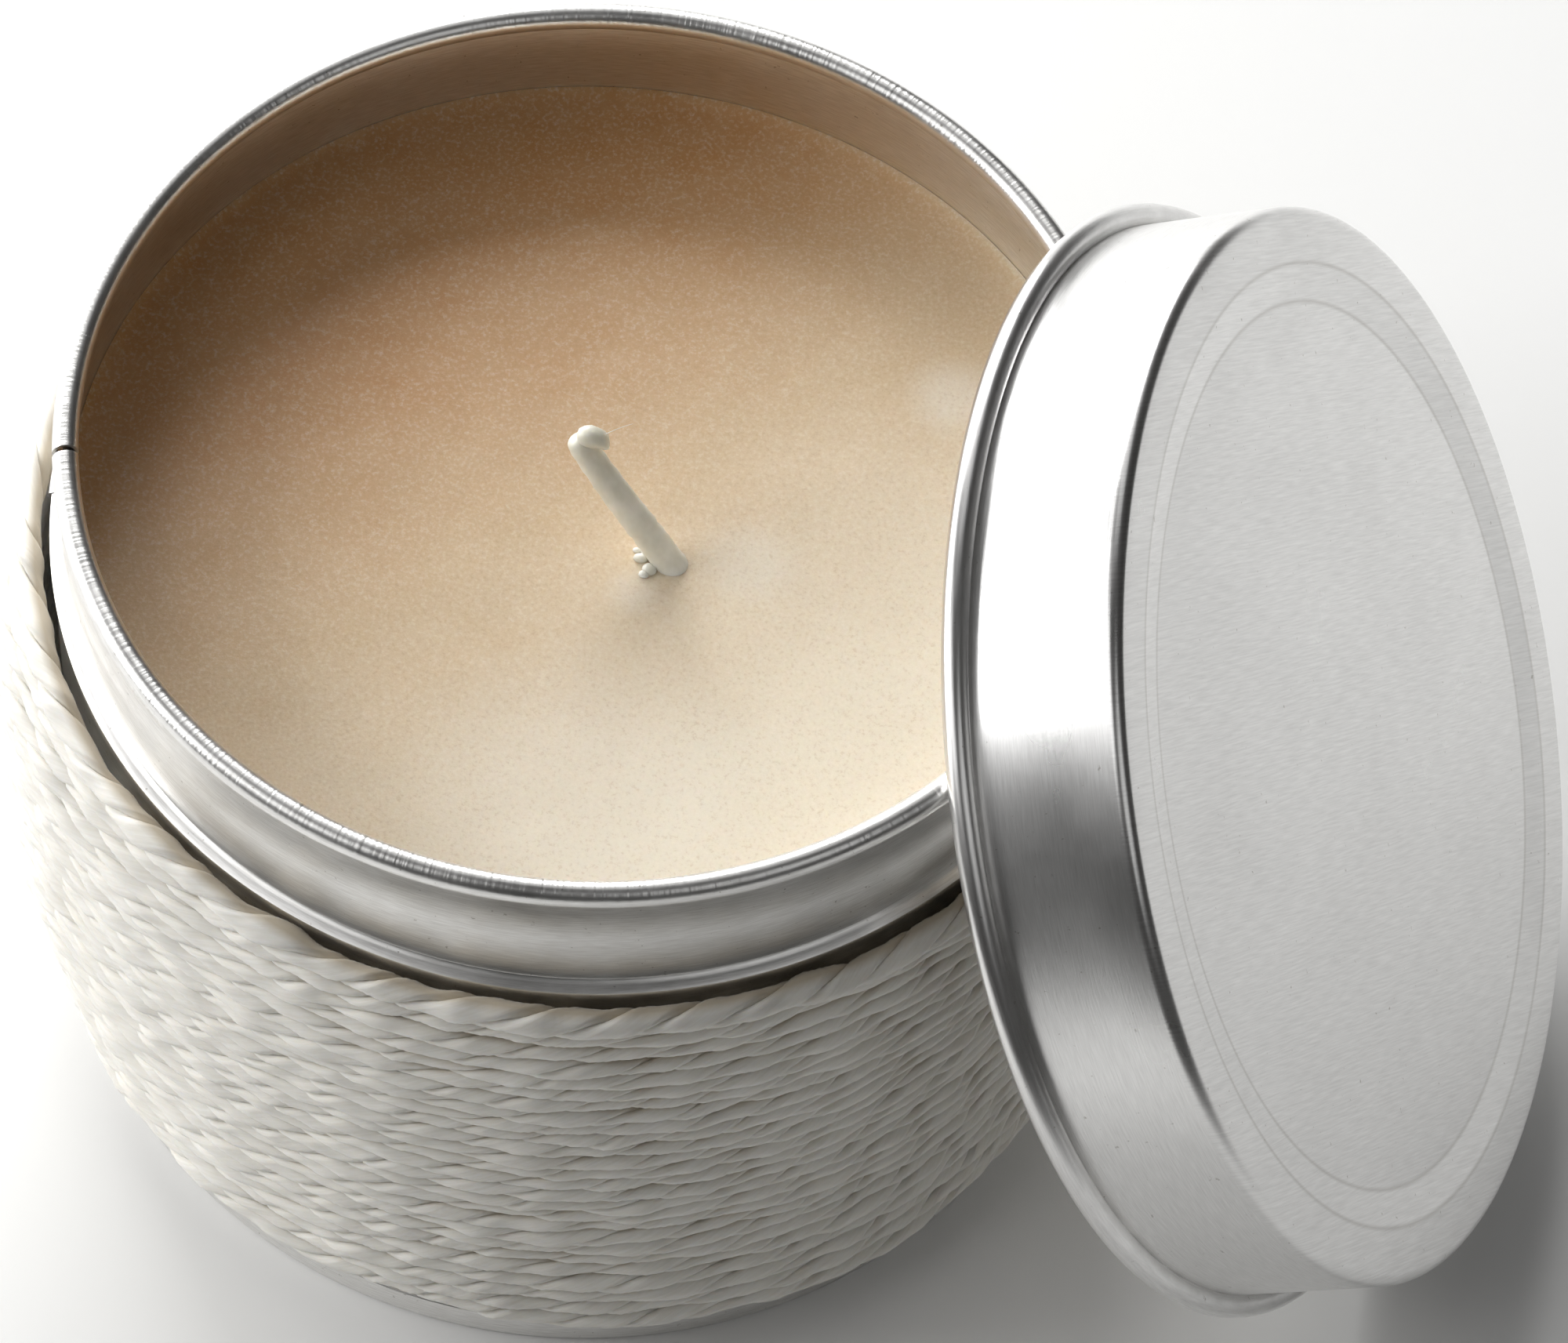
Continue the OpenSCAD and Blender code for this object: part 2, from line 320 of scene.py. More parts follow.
def base_outline():
    outer = [(0, panel_low), (well_r - sheet - 0.4, panel_low)]
    outer += arc((well_r - sheet - 0.4, panel_low - 0.4), 0.4, 80, 0, 5)
    outer += [(well_r - sheet, 0.3), (well_r - sheet + 0.3, base_low)]
    outer += [(chime_r - fold_r, base_low)]
    outer += arc((chime_r - fold_r, base_low + fold_r), fold_r, -75, 0, 6)
    outer += arc((chime_r - 0.2, base_high - 0.2), 0.2, 0, 90, 5)
    outer += [(wall_r + 0.05, base_high), (wall_r + 0.05, base_high - sheet)]
    inner = [(chime_r - sheet, base_high - sheet), (chime_r - sheet, base_low + fold_r)]
    inner += [(chime_r - fold_r, base_low + sheet), (well_r + 0.05, base_low + sheet)]
    inner += arc((well_r - 0.4, panel_low + sheet - 0.4), 0.4, 0, 90, 5)
    inner += [(0, panel_low + sheet)]
    return outer + inner


base = spin_outline("tin_bottom", in_metres(base_outline()))
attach(base, "tin")
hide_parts("tin_base")
# %% [markdown]
# ## The lid
#
# The lid is drawn from one disc: a sunk middle inside a sloped step, a flat band, a tight shoulder,
# a skirt, and an edge rolled outwards. It is turned about its own axis like the tin, then leaned
# over as it stands: its roll touches the table below and the tin's rim on either side.

# %% Turn the lid
lid_lean = math.radians(28.8)
lid_low, lid_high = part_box("lid")
lid_curl_r = 0.95
lid_curl_mid_r = (lid_high.y - lid_low.y) / 2 / MM - lid_curl_r
lid_in_r = lid_curl_mid_r - lid_curl_r
lid_out_r = lid_in_r + sheet
lid_depth = 12.2
shoulder = 0.9
band_r = lid_out_r - 4.2
sunk_r = band_r - 2.8
sunk = 0.5


def lid_top(r, down=0.0):
    """Height of the lid's top at a radius, with its sloped step softened at both edges."""
    soften = 0.12
    slope = (r - sunk_r) / (band_r - sunk_r)
    if -soften < r - sunk_r < soften:
        slope = (r - sunk_r + soften) ** 2 / (4 * soften) / (band_r - sunk_r)
    elif -soften < r - band_r < soften:
        slope = 1 - (band_r - r + soften) ** 2 / (4 * soften) / (band_r - sunk_r)
    return lid_depth - sunk + sunk * min(max(slope, 0), 1) - down


def lid_outline():
    radii = [0, 10, 20, 28] + list(np.linspace(sunk_r - 0.5, sunk_r + 0.5, 9))
    radii += list(np.linspace(band_r - 0.5, band_r + 0.5, 9)) + [lid_out_r - shoulder - 1]
    outer = [(r, lid_top(r)) for r in radii]
    outer += arc((lid_out_r - shoulder, lid_depth - shoulder), shoulder, 90, 0, 10)
    outer += [(lid_out_r, 8), (lid_out_r, 4)]
    crease = math.degrees(math.acos((lid_out_r - lid_curl_mid_r) / lid_curl_r))
    outer += arc((lid_curl_mid_r, 0), lid_curl_r, crease, -180, 34)
    inner = [(lid_in_r, 4), (lid_in_r, 8)]
    inner += arc((lid_out_r - shoulder, lid_depth - shoulder), shoulder - sheet, 0, 90, 8)
    inner += [(r, lid_top(r, sheet)) for r in reversed(radii)]
    return outer + inner


lid_x = lid_low.x / MM + lid_curl_mid_r * math.sin(lid_lean) + lid_curl_r
lid_z = lid_low.z / MM + lid_curl_mid_r * math.cos(lid_lean) + lid_curl_r
lid = spin_outline("lid_shell", in_metres(lid_outline()))
lean_over = Matrix.Rotation(math.radians(90) - lid_lean, 4, "Y")
lid_place = Matrix.Translation(Vector((lid_x, 0, lid_z)) * MM) @ lean_over
lid.matrix_world = lid_place
nothing_selected()
lid.select_set(True)
bpy.context.view_layer.objects.active = lid
bpy.ops.object.transform_apply(location=True, rotation=True, scale=True)
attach(lid, "lid")
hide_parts("lid")
print("lid leans at", round(lid_x, 2), round(lid_z, 2))

# %% [markdown]
# ## The wax
#
# Poured wax shrinks as it sets. Its top is nearly level, creeps up a hair where it wets the tin,
# and is a little uneven round the wick. The block is turned like the metal, with many rings in its
# top, and a displace modifier with a soft cloud texture gives the unevenness.

# %% Cast the wax
wax_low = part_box("wax_fill")[0].z / MM
wax_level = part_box("wax_fill")[1].z / MM
wax_edge_r = collar_r - sheet - 0.03


def wax_height(r):
    wetting = 0.45 * math.exp(-(wax_edge_r - r) / 0.45)
    return wax_level + wetting - 0.12 * math.exp(-(((r - 33) / 6) ** 2))


wax_radii = list(np.linspace(0, wax_edge_r - 2, 70))
wax_radii += list(np.linspace(wax_edge_r - 1.8, wax_edge_r, 12))
wax_low_r = wall_r - sheet - 0.05
wax_outline = [(0, wax_low), (wax_low_r, wax_low), (wax_low_r, bead_low)]
wax_outline += [(wax_edge_r, collar_low), (wax_edge_r, wax_level - 1)]
wax_outline += [(r, wax_height(r)) for r in reversed(wax_radii)]
wax = spin_outline("wax_block", in_metres(wax_outline))
top_of_wax = wax.vertex_groups.new(name="top")
for v in wax.data.vertices:
    edge_share = ease((wax_edge_r * MM - v.co.xy.length) / (4 * MM))
    if v.co.z > (wax_level - 0.6) * MM:
        top_of_wax.add([v.index], edge_share, "REPLACE")
clouds = bpy.data.textures.new("uneven_wax", "CLOUDS")
clouds.noise_scale = 14 * MM
clouds.noise_depth = 2
uneven = wax.modifiers.new("uneven", "DISPLACE")
uneven.texture = clouds
uneven.texture_coords = "LOCAL"
uneven.direction = "Z"
uneven.strength = 0.3 * MM
uneven.vertex_group = "top"
nothing_selected()
wax.select_set(True)
bpy.context.view_layer.objects.active = wax
bpy.ops.object.modifier_apply(modifier="uneven")
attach(wax, "tin")
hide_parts("wax_fill")

# %% [markdown]
# ## The wick
#
# A wick is a thin cotton braid soaked in wax. It leaves the wax aslant, gets a touch thinner
# towards its cut end, and its end is folded over. It is drawn as a ring that is extruded and nudged
# along the wick's line, a little unevenly, as the wax has set round it.

# %% Draw out the wick
wick_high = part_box("wick")[1]
wick_base = Vector((6.8, -3.3, wax_level - 1.0)) * MM
wick_tip = Vector((-1.05, -0.45, wick_high.z / MM - 1.0)) * MM
wick_r = 1.18 * MM
uneven_draw = np.random.default_rng(11)


def drawn_rod(name, points, radii, sides=28):
    """Extrudes a ring through points with a radius at each, and closes both ends."""
    nothing_selected()
    first_way = (points[1] - points[0]).normalized()
    turn = Vector((0, 0, 1)).rotation_difference(first_way)
    bpy.ops.mesh.primitive_circle_add(
        vertices=sides, radius=radii[0], location=points[0], rotation=turn.to_euler()
    )
    rod = bpy.context.object
    rod.name = name
    bpy.ops.object.transform_apply(location=True, rotation=True, scale=True)
    bpy.ops.object.mode_set(mode="EDIT")
    bpy.ops.mesh.select_all(action="SELECT")
    bpy.ops.mesh.extrude_region_move(TRANSFORM_OT_translate={"value": (0, 0, 0)})
    bpy.ops.transform.resize(value=(0.02, 0.02, 0.02), center_override=points[0])
    bpy.ops.mesh.merge(type="CENTER")
    bpy.ops.object.mode_set(mode="OBJECT")
    for i, v in enumerate(rod.data.vertices):
        v.select = abs((v.co - points[0]).length - radii[0]) < 0.1 * radii[0]
    for e in rod.data.edges:
        e.select = all(rod.data.vertices[i].select for i in e.vertices)
    for p in rod.data.polygons:
        p.select = False
    bpy.ops.object.mode_set(mode="EDIT")
    for i in range(1, len(points)):
        step = points[i] - points[i - 1]
        swell = radii[i] / radii[i - 1]
        bpy.ops.mesh.extrude_region_move(TRANSFORM_OT_translate={"value": step})
        bpy.ops.transform.resize(value=(swell, swell, swell), center_override=points[i])
    bpy.ops.mesh.merge(type="CENTER")
    bpy.ops.mesh.select_all(action="SELECT")
    bpy.ops.mesh.normals_make_consistent(inside=False)
    bpy.ops.object.mode_set(mode="OBJECT")
    bpy.ops.object.shade_smooth()
    return rod


wick_steps = 26
wick_points = []
wick_radii = []
for i in range(wick_steps + 1):
    t = i / wick_steps
    sway = Vector((0.10 * math.sin(5 * t), 0.08 * math.sin(7 * t + 1), 0)) * MM
    wick_points.append(wick_base.lerp(wick_tip, t) + sway)
    wick_radii.append(wick_r * (1 - 0.14 * t) * (1 + 0.03 * uneven_draw.standard_normal()))
wick_radii[-1] *= 0.9
wick_way = (wick_tip - wick_base).normalized()
for lift, share in ((0.28, 0.8), (0.5, 0.55), (0.62, 0.2)):
    wick_points.append(wick_points[wick_steps] + wick_way * lift * MM)
    wick_radii.append(wick_r * 0.86 * share)
wick = drawn_rod("wick_braid", wick_points, wick_radii)
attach(wick, "tin")
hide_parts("wick")
print("wick", len(wick.data.polygons), "faces")

# %% Fold its end and leave a fibre
fold_shares = ((0, 0.2), (0.08, 0.5), (0.25, 0.66), (0.45, 0.72))
fold_shares += ((0.65, 0.66), (0.85, 0.6), (0.95, 0.45), (1, 0.15))
fold_points = []
fold_radii = []
for t, share in fold_shares:
    lift = 0.30 * math.sin(math.pi * t) - 0.45 * t
    fold_points.append(wick_tip + Vector((-0.25 + 2.3 * t, 0.35 * t, 0.75 + lift)) * MM)
    fold_radii.append(wick_r * share)
fold = drawn_rod("wick_fold", fold_points, fold_radii)
fibre_points = []
for i in range(9):
    t = i / 8
    fibre_rise = 1.0 + 1.5 * t - 0.6 * t * t
    fibre_points.append(wick_tip + Vector((1.5 + 2.2 * t, 0.3 + 1.0 * t, fibre_rise)) * MM)
fibre = drawn_rod("wick_fibre", fibre_points, [0.035 * MM * (1 - 0.6 * i / 8) for i in range(9)], 6)
for piece in (fold, fibre):
    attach(piece, "tin")

# %% [markdown]
# A few crumbs of white wax stick where the wick leaves the candle. Each is a small ball whose
# points are pushed about, so that no two are alike, then flattened where it has melted on.

# %% Drop the crumbs
crumbs = []
crumb_shape = np.random.default_rng(3)
crumb_places = ((4.4, -2.6, 0.42), (4.1, -3.2, 0.50), (4.9, -4.0, 0.50))
crumb_places += ((4.6, -4.5, 0.36), (3.7, -2.6, 0.30))
for i, (x, y, size) in enumerate(crumb_places):
    nothing_selected()
    bpy.ops.mesh.primitive_ico_sphere_add(
        subdivisions=3, radius=size * MM, location=Vector((x, y, wax_level + 0.15)) * MM
    )
    crumb = bpy.context.object
    crumb.name = f"wax_crumb_{i + 1}"
    bpy.ops.object.transform_apply(location=True, rotation=True, scale=True)
    bpy.ops.object.mode_set(mode="EDIT")
    bpy.ops.mesh.select_all(action="SELECT")
    bpy.ops.transform.vertex_random(offset=0.07 * size * MM, seed=i)
    bpy.ops.transform.resize(
        value=(1.1, crumb_shape.uniform(0.7, 1.1), 0.75),
        center_override=Vector((x, y, wax_level)) * MM,
    )
    bpy.ops.mesh.vertices_smooth(factor=0.4)
    bpy.ops.object.mode_set(mode="OBJECT")
    bpy.ops.object.shade_smooth()
    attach(crumb, "tin")
    crumbs.append(crumb)
print("crumbs", len(crumbs))

# %% [markdown]
# ## The cord
#
# The cord is two soft plies twisted together, wound 26 times round the wall from just above the
# chime to just under the bead. Each ply is a flat-sided tube that circles the cord's own centre
# line about once in 11 mm, so that its turns show as long slanting leaves. A modelled copy bent
# round with a curve modifier would stretch, so the plies are swept point by point along the route.
# A soft cord is never quite even: slow random waves shift its thickness, height and twist.

# %% Wind the cord
cord_low, cord_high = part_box("cord_wrap")
CORD_PITCH = 1.65
CORD_THICK = 1.8
LAY_LENGTH = 11.0
PLIES = 2
cord_mid_r = cord_high.x / MM - CORD_THICK / 2
cord_base_z = cord_low.z / MM + (CORD_PITCH - 0.08) / 2
cord_turns = round((cord_high.z - cord_low.z) / MM / CORD_PITCH - 0.95)
cord_end_azimuth = math.radians(20)
RINGS_PER_TURN = 440
PLY_SIDES = 12
cord_length = cord_turns * math.hypot(math.tau * cord_mid_r, CORD_PITCH)
chance = np.random.default_rng(5)


def wander(s, wavelength):
    """A smooth random wave along the cord, of strength about 1."""
    total = np.zeros_like(s)
    for stretch in (0.6, 0.85, 1.0, 1.3, 1.9):
        total += np.sin(math.tau * s / (wavelength * stretch) + chance.uniform(0, math.tau))
    return total / math.sqrt(2.5)


ring_count = cord_turns * RINGS_PER_TURN + 1
turn = np.linspace(0, cord_turns, ring_count)
along = turn / cord_turns * cord_length
twist = math.tau * along / LAY_LENGTH + 0.55 * wander(along, 70) + 0.25 * wander(along, 19)
swell = 1 + 0.07 * wander(along, 13) + 0.04 * wander(along, 5)
azimuth = cord_end_azimuth + math.tau * turn
height = cord_base_z + CORD_PITCH * turn + 0.10 * wander(along, 34) + 0.05 * wander(along, 11)
radius = cord_mid_r + 0.08 * wander(along, 41) + 0.05 * wander(along, 9)
top_turn = np.clip((turn - (cord_turns - 1.0)) / 0.25, 0, 1)
swell *= 1 + 0.12 * top_turn
radius += 0.10 * top_turn
# the top five turns ride up, most on one side
high_azimuth = math.radians(225)
high_side = 0.5 + 0.5 * np.cos(azimuth - high_azimuth)
top_rows = np.clip((turn - (cord_turns - 5.0)) / 4.2, 0, 1) ** 1.3
height += top_rows * (0.40 + 1.40 * high_side)
# the turns between stand off the wall on the left, where the winding is loose
loose_azimuth, loose_spread, loose_bulge = 196, 34, 2.3
loose_side = np.exp(-(((np.degrees(azimuth) % 360) - loose_azimuth) / loose_spread) ** 2)
rows_down = np.clip((cord_turns - turn) / 3.5, 0, 1)
rows_up = np.clip(turn / 8, 0, 1)
radius += loose_bulge * loose_side * rows_up * rows_down
# the lowest six turns sag towards the chime, and hang out a little at one place
low_azimuth, low_spread, low_bulge = 305, 40, 0.7
low_side = np.exp(-(((np.degrees(azimuth) - low_azimuth + 180) % 360 - 180) / low_spread) ** 2)
sag = np.clip((6 - turn) / 6, 0, 1)
height -= sag * (0.75 + 0.35 * low_side + 0.12 * wander(along, 23))
radius += low_bulge * low_side * sag
# both ends are tucked in
tuck = np.minimum(along, cord_length - along) / 7.0
swell *= 0.35 + 0.65 * np.clip(tuck, 0, 1)
radius -= 0.5 * (1 - np.clip(tuck, 0, 1))
print("cord", cord_turns, "turns,", round(cord_length / 1000, 2), "m long")


# %% Sweep the two plies
def sweep_ply(name, ply, first, last):
    """One stretch of one ply as a mesh tube, with its length in millimetres along U."""
    rings = np.arange(first, last + 1)
    phase = twist[rings] + math.tau * ply / PLIES
    around = np.linspace(0, math.tau, PLY_SIDES, endpoint=False)
    outward = 0.40 + 0.56 * np.cos(around)[None, :]
    sideways = 0.86 * np.sin(around)[None, :] * np.abs(np.sin(around)[None, :]) ** 0.25
    cp = np.cos(phase)[:, None]
    sp = np.sin(phase)[:, None]
    size = swell[rings][:, None]
    r = radius[rings][:, None] + size * (outward * cp - sideways * sp)
    z = height[rings][:, None] + 0.95 * size * (outward * sp + sideways * cp)
    tin_r = wall_r + (bead_r - wall_r) * np.clip((z - bead_low) / (bead_mid - bead_low), 0, 1)
    r = np.maximum(r, tin_r + 0.04)
    a = azimuth[rings][:, None]
    points = np.stack([r * np.cos(a), r * np.sin(a), z], axis=-1).reshape(-1, 3) * MM
    faces = []
    for i in range(len(rings) - 1):
        for j in range(PLY_SIDES):
            k = (j + 1) % PLY_SIDES
            low, high = i * PLY_SIDES, (i + 1) * PLY_SIDES
            faces.append((low + j, high + j, high + k, low + k))
    faces.append(tuple(range(PLY_SIDES)))
    faces.append(tuple((len(rings) - 1) * PLY_SIDES + j for j in reversed(range(PLY_SIDES))))
    mesh = bpy.data.meshes.new(name)
    mesh.from_pydata(points.tolist(), [], faces)
    lay = mesh.uv_layers.new(name="along_ply")
    loop_points = np.zeros(len(mesh.loops), int)
    mesh.loops.foreach_get("vertex_index", loop_points)
    side = loop_points % PLY_SIDES
    loop_in_face = np.arange(len(mesh.loops)) % 4
    wraps = (side == 0) & (loop_in_face >= 2)
    u = along[first + loop_points // PLY_SIDES]
    v = np.where(wraps, PLY_SIDES, side) / PLY_SIDES + ply * 7.3
    lay.data.foreach_set("uv", np.stack([u, v], axis=-1).ravel())
    mesh.polygons.foreach_set("use_smooth", np.ones(len(mesh.polygons), bool))
    mesh.update()
    piece = bpy.data.objects.new(name, mesh)
    bpy.context.scene.collection.objects.link(piece)
    return piece


cord_pieces = []
hanks = 2
for ply in range(PLIES):
    for hank in range(hanks):
        first = hank * (ring_count - 1) // hanks
        last = (hank + 1) * (ring_count - 1) // hanks
        cord_pieces.append(sweep_ply(f"cord_ply_{'ab'[ply]}_{hank + 1}", ply, first, last))
for piece in cord_pieces:
    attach(piece, "tin")
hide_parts("cord_wrap")
print("cord pieces", [len(p.data.polygons) for p in cord_pieces], "faces")

# %% [markdown]
# ## Materials
#
# Each finish is a small node tree. A few helpers add and wire nodes, so that each material below
# reads as a list of what the surface is: a base colour, a grain, scratches, specks and a bump.

# %% Node helpers
def new_material(name):
    """A material with its Principled shader, and helpers to add and join nodes."""
    material = bpy.data.materials.new(name)
    material.use_nodes = True
    tree = material.node_tree
    shader = tree.nodes["Principled BSDF"]

    def node(kind, inputs=None, **settings):
        made = tree.nodes.new(kind)
        for key, value in settings.items():
            setattr(made, key, value)
        for key, value in (inputs or {}).items():
            if isinstance(value, bpy.types.NodeSocket):
                tree.links.new(value, made.inputs[key])
            else:
                made.inputs[key].default_value = value
        return made

    return material, shader, node, tree.links.new


def noise(node, vector, scale, detail=2.0, roughness=0.5):
    return node("ShaderNodeTexNoise", {"Vector": vector, "Scale": scale, "Detail": detail,
                                       "Roughness": roughness}).outputs["Fac"]


def mapped(node, vector, scale, turn=(0, 0, 0), move=(0, 0, 0)):
    return node("ShaderNodeMapping", {"Vector": vector, "Scale": scale, "Rotation": turn,
                                      "Location": move}).outputs["Vector"]


def remap(node, value, low, high, to_low=0.0, to_high=1.0):
    return node("ShaderNodeMapRange", {"Value": value, "From Min": low, "From Max": high,
                                       "To Min": to_low, "To Max": to_high}).outputs["Result"]


def blend_colours(node, share, first, second, how="MIX"):
    mixer = node("ShaderNodeMix", {"Factor": share}, data_type="RGBA", blend_type=how)
    for socket, value in ((6, first), (7, second)):
        if isinstance(value, bpy.types.NodeSocket):
            mixer.id_data.links.new(value, mixer.inputs[socket])
        else:
            mixer.inputs[socket].default_value = (*value, 1)
    return mixer.outputs[2]


def math_of(node, how, first, second=0.5):
    return node("ShaderNodeMath", {0: first, 1: second}, operation=how).outputs[0]


def bump(node, height, strength, distance, normal=None):
    inputs = {"Height": height, "Strength": strength, "Distance": distance}
    if normal is not None:
        inputs["Normal"] = normal
    return node("ShaderNodeBump", inputs).outputs["Normal"]


# %% [markdown]
# ## Tinplate
#
# Tin-plated steel has a soft grey shine with a faint drawn grain that runs round the piece, tiny
# pits, and darker marks where tools have pressed it. The grain is noise stretched along the
# direction round the tin, which is made from the angle and height of each point.

# %% Tinplate of the tin
def round_the_axis(node, coordinates):
    """Turns object coordinates into (length round the tin, radius, height)."""
    parts = node("ShaderNodeSeparateXYZ", {"Vector": coordinates})
    angle = math_of(node, "ARCTAN2", parts.outputs["Y"], parts.outputs["X"])
    length = math_of(node, "MULTIPLY", angle, wall_r * MM)
    flat = node("ShaderNodeCombineXYZ", {"X": parts.outputs["X"], "Y": parts.outputs["Y"]})
    out = node("ShaderNodeVectorMath", {0: flat.outputs[0]}, operation="LENGTH").outputs["Value"]
    return node("ShaderNodeCombineXYZ", {"X": length, "Y": out, "Z": parts.outputs["Z"]}), parts


def tinplate():
    material, shader, node, join = new_material("tinplate")
    place = node("ShaderNodeTexCoord").outputs["Object"]
    unrolled, parts = round_the_axis(node, place)
    grain = noise(node, mapped(node, unrolled.outputs[0], (600, 9000, 9000)), 1.0, 3.0)
    blotches = noise(node, place, 160.0, 3.0, 0.6)
    specks = remap(node, noise(node, place, 1900.0, 2.0, 0.6), 0.70, 0.76)
    shine = remap(node, grain, 0.35, 0.65)
    tone = blend_colours(node, shine, (0.74, 0.73, 0.71), (0.88, 0.875, 0.86))
    tone = blend_colours(node, math_of(node, "MULTIPLY", specks, 0.55), tone, (0.20, 0.17, 0.14))
    join(tone, shader.inputs["Base Color"])
    rough = remap(node, blotches, 0.3, 0.7, 0.30, 0.38)
    join(rough, shader.inputs["Roughness"])
    shader.inputs["Metallic"].default_value = 1.0
    # fine radial wrinkles where the sheet was rolled into the curl
    high = remap(node, parts.outputs["Z"], (curl_z + 0.1) * MM, (curl_z + 0.6) * MM)
    ribs = noise(node, mapped(node, unrolled.outputs[0], (3300, 200, 200)), 1.0, 1.0)
    rib_height = math_of(node, "MULTIPLY", ribs, high)
    relief = bump(node, rib_height, 0.45, 0.08 * MM)
    relief = bump(node, grain, 0.15, 0.01 * MM, relief)
    join(relief, shader.inputs["Normal"])
    return material


tin_finish = tinplate()
for piece in (tin, lap, base):
    piece.data.materials.append(tin_finish)
print("tinplate on", tin.name, lap.name, base.name)

# %% [markdown]
# ## Tinplate of the lid
#
# The lid's sheet is brushed one way: hundreds of fine hair scratches lie aslant across its top,
# with a few specks. The same noise is used as on the tin, but stretched along one line of the lid's
# own plane, which a Mapping node turns to the lid's lean.

# %% Lid finish
def lid_tinplate():
    material, shader, node, join = new_material("lid_tinplate")
    place = node("ShaderNodeTexCoord").outputs["Object"]
    moved = mapped(node, place, (1, 1, 1), (0, 0, 0), (-lid_x * MM, 0, -lid_z * MM))
    own = mapped(node, moved, (1, 1, 1), (0, lid_lean - math.radians(90), 0))
    parts = node("ShaderNodeSeparateXYZ", {"Vector": own})
    angle = math_of(node, "ARCTAN2", parts.outputs["Y"], parts.outputs["X"])
    length = math_of(node, "MULTIPLY", angle, lid_out_r * MM)
    skirt = node("ShaderNodeCombineXYZ", {"X": length, "Z": parts.outputs["Z"]}).outputs[0]
    brushed = mapped(node, own, (1, 1, 1), (0, 0, math.radians(-40)))
    hairs = noise(node, mapped(node, brushed, (350, 7000, 350)), 1.0, 3.0, 0.6)
    round_hairs = noise(node, mapped(node, skirt, (450, 450, 9000)), 1.0, 3.0, 0.6)
    on_skirt = remap(node, parts.outputs["Z"], (lid_depth - 1.2) * MM, (lid_depth - 0.8) * MM, 1, 0)
    grain = node("ShaderNodeMix", {"Factor": on_skirt, 2: hairs, 3: round_hairs}).outputs[0]
    blotches = noise(node, own, 90.0, 3.0, 0.6)
    specks = remap(node, noise(node, own, 1700.0, 2.0, 0.6), 0.71, 0.77)
    shine = remap(node, grain, 0.3, 0.7)
    tone = blend_colours(node, shine, (0.78, 0.775, 0.765), (0.93, 0.925, 0.915))
    out = node("ShaderNodeVectorMath", {0: node("ShaderNodeCombineXYZ", {"X": parts.outputs["X"],
               "Y": parts.outputs["Y"]}).outputs[0]}, operation="LENGTH").outputs["Value"]
    # painted shade: a thin dark line along each edge of the lid's sloped step, where the crease falls
    # into shade
    for edge_r in (sunk_r, band_r):
        off_edge = math_of(node, "ABSOLUTE", math_of(node, "SUBTRACT", out, edge_r * MM))
        painted_step_shade = remap(node, off_edge, 0.0, 0.25 * MM, 0.45, 0.0)
        tone = blend_colours(node, painted_step_shade, tone, (0.42, 0.40, 0.37))
    tone = blend_colours(node, math_of(node, "MULTIPLY", specks, 0.5), tone, (0.30, 0.27, 0.23))
    join(tone, shader.inputs["Base Color"])
    join(remap(node, blotches, 0.3, 0.7, 0.27, 0.33), shader.inputs["Roughness"])
    shader.inputs["Metallic"].default_value = 1.0
    relief = bump(node, grain, 0.30, 0.02 * MM)
    join(relief, shader.inputs["Normal"])
    return material


lid.data.materials.append(lid_tinplate())
print("lid finish on", lid.name)
